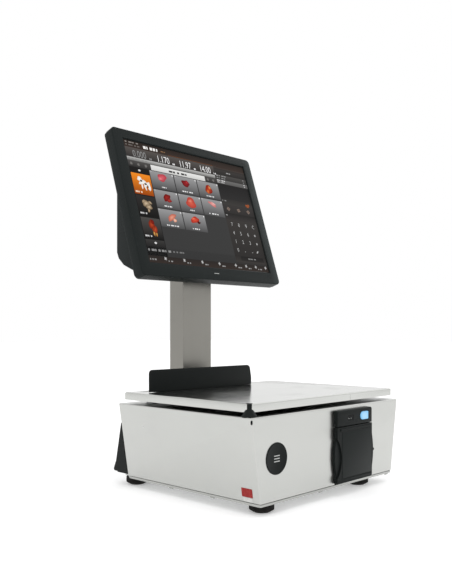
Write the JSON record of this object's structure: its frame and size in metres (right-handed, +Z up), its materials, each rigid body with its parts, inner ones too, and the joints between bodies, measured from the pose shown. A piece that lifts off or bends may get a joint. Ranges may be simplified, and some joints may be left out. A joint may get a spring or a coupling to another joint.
{
  "type": "touchscreen retail scale",
  "caption": "Counter-top weighing scale with a tilting touch monitor on a steel column, a lift-off weigh plate and a pull-out label printer cassette.",
  "frame": {"origin": "on the counter under the centre of the whole outline, front of the printer to back of the connectors", "axes": "+X to the right seen from the front, +Y to the back, +Z up"},
  "size_m": [0.3822, 0.3661, 0.6105],
  "materials": {
    "stainless": "polished",
    "column_steel": "brushed",
    "steel_zinc": "zinc plated",
    "black_plastic": "satin",
    "charcoal_plastic": "fine texture",
    "black_rubber": "matt",
    "aluminium": "satin",
    "screen_glass": "anti-glare",
    "circuit_board": "solder mask",
    "blue_button": "lit",
    "red_label": "print",
    "paper": "matt",
    "brass": "machined",
    "clear_plastic": "clear"
  },
  "bodies": {
    "base": {"base_plate": "steel_zinc", "body_shell": "stainless", "rear_cover": "black_plastic", "power_inlet": "black_plastic", "connector_block": "steel_zinc", "main_board": "circuit_board", "power_supply": "aluminium", "spirit_level": "clear_plastic", "badge_disc": "black_plastic", "side_label": "red_label", "cell_pedestal": "aluminium", "load_cell": "aluminium", "cell_spacer": "aluminium", "platform_spider": "aluminium", "under_tray": "black_plastic", "printer_fascia": "black_plastic", "led_window": "clear_plastic", "rail_left": "steel_zinc", "rail_right": "steel_zinc", "post_foot": "steel_zinc", "post": "column_steel", "post_head": "steel_zinc", "hinge_shaft": "steel_zinc"},
    "plate": {"weigh_plate": "stainless", "backstop": "black_plastic"},
    "cassette": {"cassette_chassis": "steel_zinc", "cassette_door": "black_plastic", "printer_motor": "steel_zinc"},
    "roll": {"label_roll": "paper", "roll_spindle": "black_plastic"},
    "rewinder": {"rewind_spool": "black_plastic"},
    "platen": {"platen_roller": "black_rubber", "platen_gear": "brass"},
    "pinion": {"motor_pinion": "brass"},
    "head": {"print_head": "aluminium"},
    "latch": {"latch_knob": "black_plastic"},
    "button": {"print_button": "blue_button"},
    "switch": {"rocker_switch": "black_plastic"},
    "monitor": {"monitor_chassis": "steel_zinc", "lcd_panel": "steel_zinc", "touch_glass": "screen_glass", "monitor_bezel": "charcoal_plastic", "monitor_housing": "charcoal_plastic", "computer_board": "circuit_board", "driver_board": "circuit_board", "heat_sink": "aluminium", "hinge_bracket": "steel_zinc"},
    "foot_fl": {"foot_pad_fl": "black_rubber", "foot_stud_fl": "steel_zinc"},
    "foot_fr": {"foot_pad_fr": "black_rubber", "foot_stud_fr": "steel_zinc"},
    "foot_rl": {"foot_pad_rl": "black_rubber", "foot_stud_rl": "steel_zinc"},
    "foot_rr": {"foot_pad_rr": "black_rubber", "foot_stud_rr": "steel_zinc"}
  },
  "joints": [
    {"name": "monitor_tilt", "type": "hinge", "parent": "base", "child": "monitor", "pos_m": [0, 0.14955, 0.43], "axis": [-1, 0, 0], "range_deg": [-9, 15]},
    {"name": "plate_lift", "type": "slide", "parent": "base", "child": "plate", "axis": [0, 0, 1], "range_m": [0, 0.06]},
    {"name": "cassette_slide", "type": "slide", "parent": "base", "child": "cassette", "axis": [0, -1, 0], "range_m": [0, 0.14]},
    {"name": "roll_spin", "type": "hinge", "parent": "cassette", "child": "roll", "pos_m": [0.0505, -0.10645, 0.0665], "axis": [1, 0, 0], "continuous": true},
    {"name": "platen_spin", "type": "hinge", "parent": "cassette", "child": "platen", "pos_m": [0.04, -0.16045, 0.0985], "axis": [1, 0, 0], "continuous": true},
    {"name": "pinion_spin", "type": "hinge", "parent": "cassette", "child": "pinion", "pos_m": [0.077, -0.15424, 0.08518], "axis": [1, 0, 0], "continuous": true},
    {"name": "rewind_spin", "type": "hinge", "parent": "cassette", "child": "rewinder", "pos_m": [0.04, -0.16045, 0.044], "axis": [1, 0, 0], "continuous": true},
    {"name": "head_lift", "type": "hinge", "parent": "cassette", "child": "head", "pos_m": [0.04, -0.14245, 0.101], "axis": [-1, 0, 0], "range_deg": [0, 4], "stiffness_Nm_per_rad": 0.5, "springref_deg": -5.73},
    {"name": "latch_turn", "type": "hinge", "parent": "cassette", "child": "latch", "pos_m": [0.1035, -0.17825, 0.064], "axis": [1, 0, 0], "range_deg": [0, 70]},
    {"name": "button_press", "type": "slide", "parent": "base", "child": "button", "axis": [0, 1, 0], "range_m": [0, 0.0013], "stiffness_N_per_m": 300, "springref_m": -0.001},
    {"name": "switch_rock", "type": "hinge", "parent": "base", "child": "switch", "pos_m": [0.07, 0.17505, 0.073], "axis": [-1, 0, 0], "range_deg": [0, 10]},
    {"name": "foot_turn_fl", "type": "hinge", "parent": "base", "child": "foot_fl", "pos_m": [-0.1405, -0.14865, 0], "axis": [0, 0, 1], "range_deg": [-360, 360]},
    {"name": "foot_turn_fr", "type": "hinge", "parent": "base", "child": "foot_fr", "pos_m": [0.1115, -0.14465, 0], "axis": [0, 0, 1], "range_deg": [-360, 360]},
    {"name": "foot_turn_rl", "type": "hinge", "parent": "base", "child": "foot_rl", "pos_m": [-0.1446, 0.12855, 0], "axis": [0, 0, 1], "range_deg": [-360, 360]},
    {"name": "foot_turn_rr", "type": "hinge", "parent": "base", "child": "foot_rr", "pos_m": [0.1446, 0.12855, 0], "axis": [0, 0, 1], "range_deg": [-360, 360]}
  ],
  "couplings": [
    {"joint": "platen_spin", "follows": "roll_spin", "ratio": 6.1667},
    {"joint": "pinion_spin", "follows": "roll_spin", "ratio": -11.1},
    {"joint": "rewind_spin", "follows": "roll_spin", "ratio": 5.2857}
  ]
}
